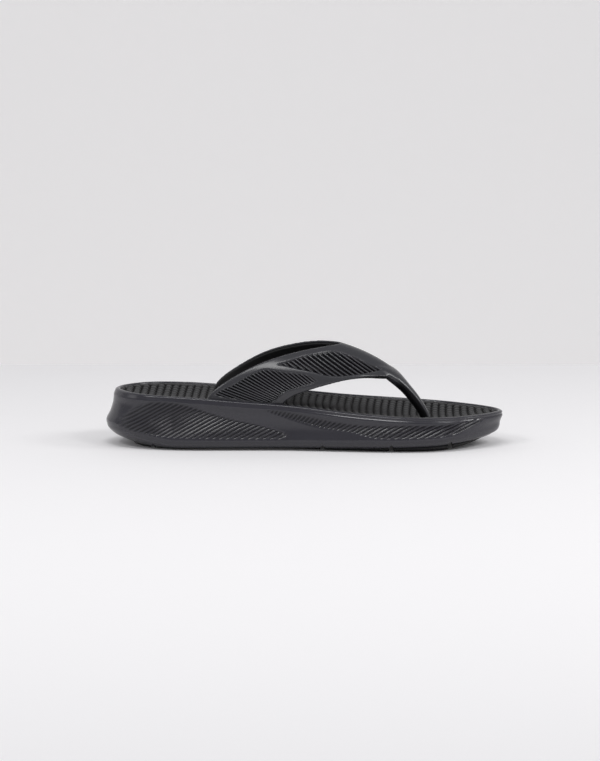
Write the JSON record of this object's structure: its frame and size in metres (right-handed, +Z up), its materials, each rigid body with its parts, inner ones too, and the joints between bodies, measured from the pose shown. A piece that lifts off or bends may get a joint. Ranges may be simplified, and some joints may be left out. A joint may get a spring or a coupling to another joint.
{
  "type": "flip flop",
  "caption": "Left thong sandal with a rimmed foam sole, a nodular footbed, ribbed tread pads and a moulded strap with a toe post.",
  "frame": {"origin": "on the ground, at the middle of the sole's length and width", "axes": "+X toward the toe, +Y toward the outer side of the foot, +Z up"},
  "size_m": [0.2868, 0.1, 0.074],
  "materials": {
    "sole_foam": "moulded foam skin, satin",
    "footbed_foam": "soft matte foam",
    "strap_moulding": "moulded, satin",
    "lining": "matte black lining",
    "tread_rubber": "matte black rubber"
  },
  "bodies": {
    "root": {"midsole": "sole_foam", "footbed": "footbed_foam", "strap_upper": "strap_moulding", "strap_lining": "lining", "toe_post_plug": "strap_moulding", "tread_heel": "tread_rubber", "tread_arch": "tread_rubber", "tread_ball": "tread_rubber", "tread_forefoot": "tread_rubber", "tread_toe": "tread_rubber"}
  },
  "joints": []
}
